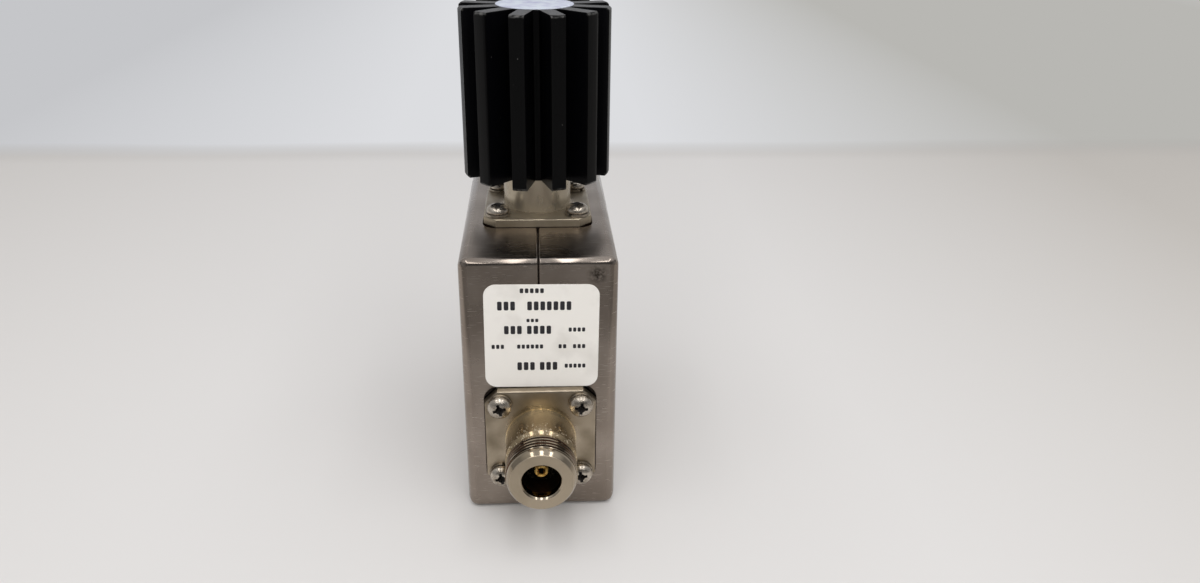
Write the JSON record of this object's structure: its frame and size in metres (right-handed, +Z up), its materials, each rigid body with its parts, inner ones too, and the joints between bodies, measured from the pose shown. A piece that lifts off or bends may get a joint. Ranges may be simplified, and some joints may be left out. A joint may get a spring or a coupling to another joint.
{
  "type": "rf isolator",
  "caption": "Coaxial RF isolator: box-shaped drawn metal shield with threaded coaxial jacks on opposite faces and a flange-mounted finned dummy load on top.",
  "frame": {"origin": "middle of the flat bottom face, where the part stands", "axes": "+X through the thickness towards the side with the tapped holes, +Y from the input jack to the output jack, +Z up along the load's axis"},
  "size_m": [0.0344, 0.1014, 0.1116],
  "materials": {
    "nickel_sheet": "satin nickel plate",
    "housing_alloy": "machined",
    "yoke_steel": "plated",
    "magnet": "ground",
    "shunt_steel": "rolled",
    "pole_steel": "ground",
    "ferrite": "ground",
    "strip_brass": "gold plate",
    "nickel_turned": "nickel plate",
    "insulator": "turned",
    "gold_contact": "gold plate",
    "resistor": "glazed",
    "black_anodised": "black anodised",
    "screw_steel": "plated",
    "washer_steel": "plated",
    "label_white": "satin film",
    "label_blue": "satin film"
  },
  "bodies": {
    "root": {"shield_left": "nickel_sheet", "shield_right": "nickel_sheet", "housing": "housing_alloy", "cover_left": "yoke_steel", "cover_right": "yoke_steel", "side_screws": "screw_steel", "magnet_left": "magnet", "magnet_right": "magnet", "shunt_left": "shunt_steel", "shunt_right": "shunt_steel", "pole_piece_left": "pole_steel", "pole_piece_right": "pole_steel", "ferrite_left": "ferrite", "ferrite_right": "ferrite", "centre_conductor": "strip_brass", "input_jack_body": "nickel_turned", "input_jack_insulator": "insulator", "input_jack_contact": "gold_contact", "output_jack_body": "nickel_turned", "output_jack_insulator": "insulator", "output_jack_contact": "gold_contact", "load_body": "nickel_turned", "load_insulator": "insulator", "load_contact": "gold_contact", "load_resistor": "resistor", "heat_sink": "black_anodised", "flange_screws": "screw_steel", "lock_washers": "washer_steel", "front_label": "label_white", "load_label": "label_blue"}
  },
  "joints": []
}
